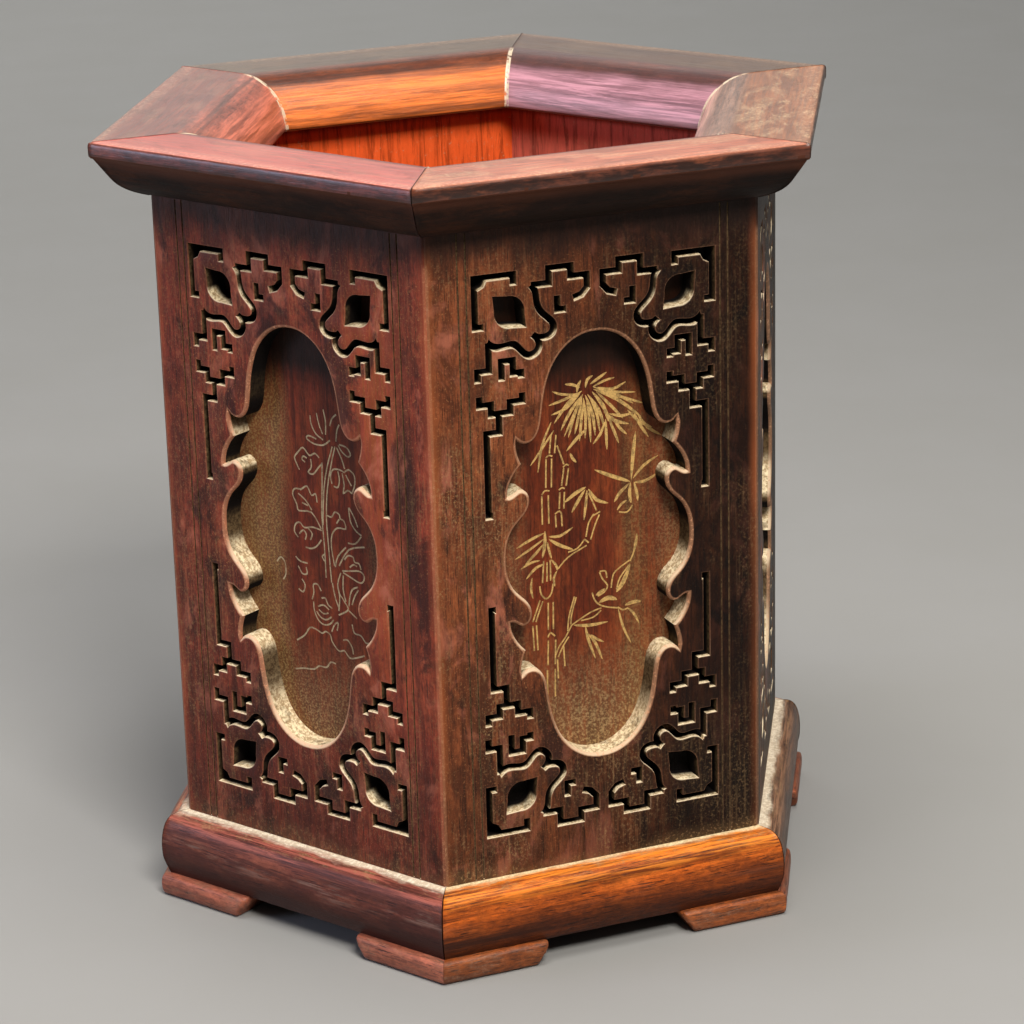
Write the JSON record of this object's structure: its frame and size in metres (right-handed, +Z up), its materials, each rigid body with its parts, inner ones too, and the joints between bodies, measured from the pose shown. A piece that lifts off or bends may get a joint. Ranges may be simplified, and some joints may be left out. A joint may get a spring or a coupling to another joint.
{
  "type": "brush pot",
  "caption": "Six-sided open wooden pot for holding upright brushes, with a heavy moulded rim, pierced and engraved double walls, a base moulding and corner bracket feet.",
  "frame": {"origin": "centre of the underside of the feet", "axes": "+Z up through the open mouth; two opposite corners lie on X; the bamboo picture faces -Y"},
  "size_m": [0.1652, 0.143, 0.165],
  "materials": {
    "rim_wood": "polished dark red hardwood, worn and slightly dusty",
    "panel_wood": "waxed red-brown hardwood with dust in the fretwork",
    "board_wood": "waxed dark red hardwood, dusty at the bottom",
    "base_wood": "waxed orange-brown hardwood with dust on the upper slope",
    "foot_wood": "waxed orange-brown hardwood",
    "floor_wood": "plain hardwood board",
    "tongue_wood": "plain hardwood, glued",
    "peg_bamboo": "bamboo, cut flush",
    "gold_line": "dull gold pigment rubbed into the engraved lines"
  },
  "bodies": {
    "root": {"rim_rail_front": "rim_wood", "fret_panel_front": "panel_wood", "inner_board_front": "board_wood", "base_rail_front": "base_wood", "foot_arm_l_front": "foot_wood", "foot_arm_r_front": "foot_wood", "rim_rail_front_left": "rim_wood", "fret_panel_front_left": "panel_wood", "inner_board_front_left": "board_wood", "base_rail_front_left": "base_wood", "foot_arm_l_front_left": "foot_wood", "foot_arm_r_front_left": "foot_wood", "rim_rail_back_left": "rim_wood", "fret_panel_back_left": "panel_wood", "inner_board_back_left": "board_wood", "base_rail_back_left": "base_wood", "foot_arm_l_back_left": "foot_wood", "foot_arm_r_back_left": "foot_wood", "rim_rail_back": "rim_wood", "fret_panel_back": "panel_wood", "inner_board_back": "board_wood", "base_rail_back": "base_wood", "foot_arm_l_back": "foot_wood", "foot_arm_r_back": "foot_wood", "rim_rail_back_right": "rim_wood", "fret_panel_back_right": "panel_wood", "inner_board_back_right": "board_wood", "base_rail_back_right": "base_wood", "foot_arm_l_back_right": "foot_wood", "foot_arm_r_back_right": "foot_wood", "rim_rail_front_right": "rim_wood", "fret_panel_front_right": "panel_wood", "inner_board_front_right": "board_wood", "base_rail_front_right": "base_wood", "foot_arm_l_front_right": "foot_wood", "foot_arm_r_front_right": "foot_wood", "rim_tongue_front_left": "tongue_wood", "base_tongue_front_left": "tongue_wood", "rim_tongue_left": "tongue_wood", "base_tongue_left": "tongue_wood", "rim_tongue_back_left": "tongue_wood", "base_tongue_back_left": "tongue_wood", "rim_tongue_back_right": "tongue_wood", "base_tongue_back_right": "tongue_wood", "rim_tongue_right": "tongue_wood", "base_tongue_right": "tongue_wood", "rim_tongue_front_right": "tongue_wood", "base_tongue_front_right": "tongue_wood", "floor_board": "floor_wood", "foot_pegs": "peg_bamboo"}
  },
  "joints": []
}
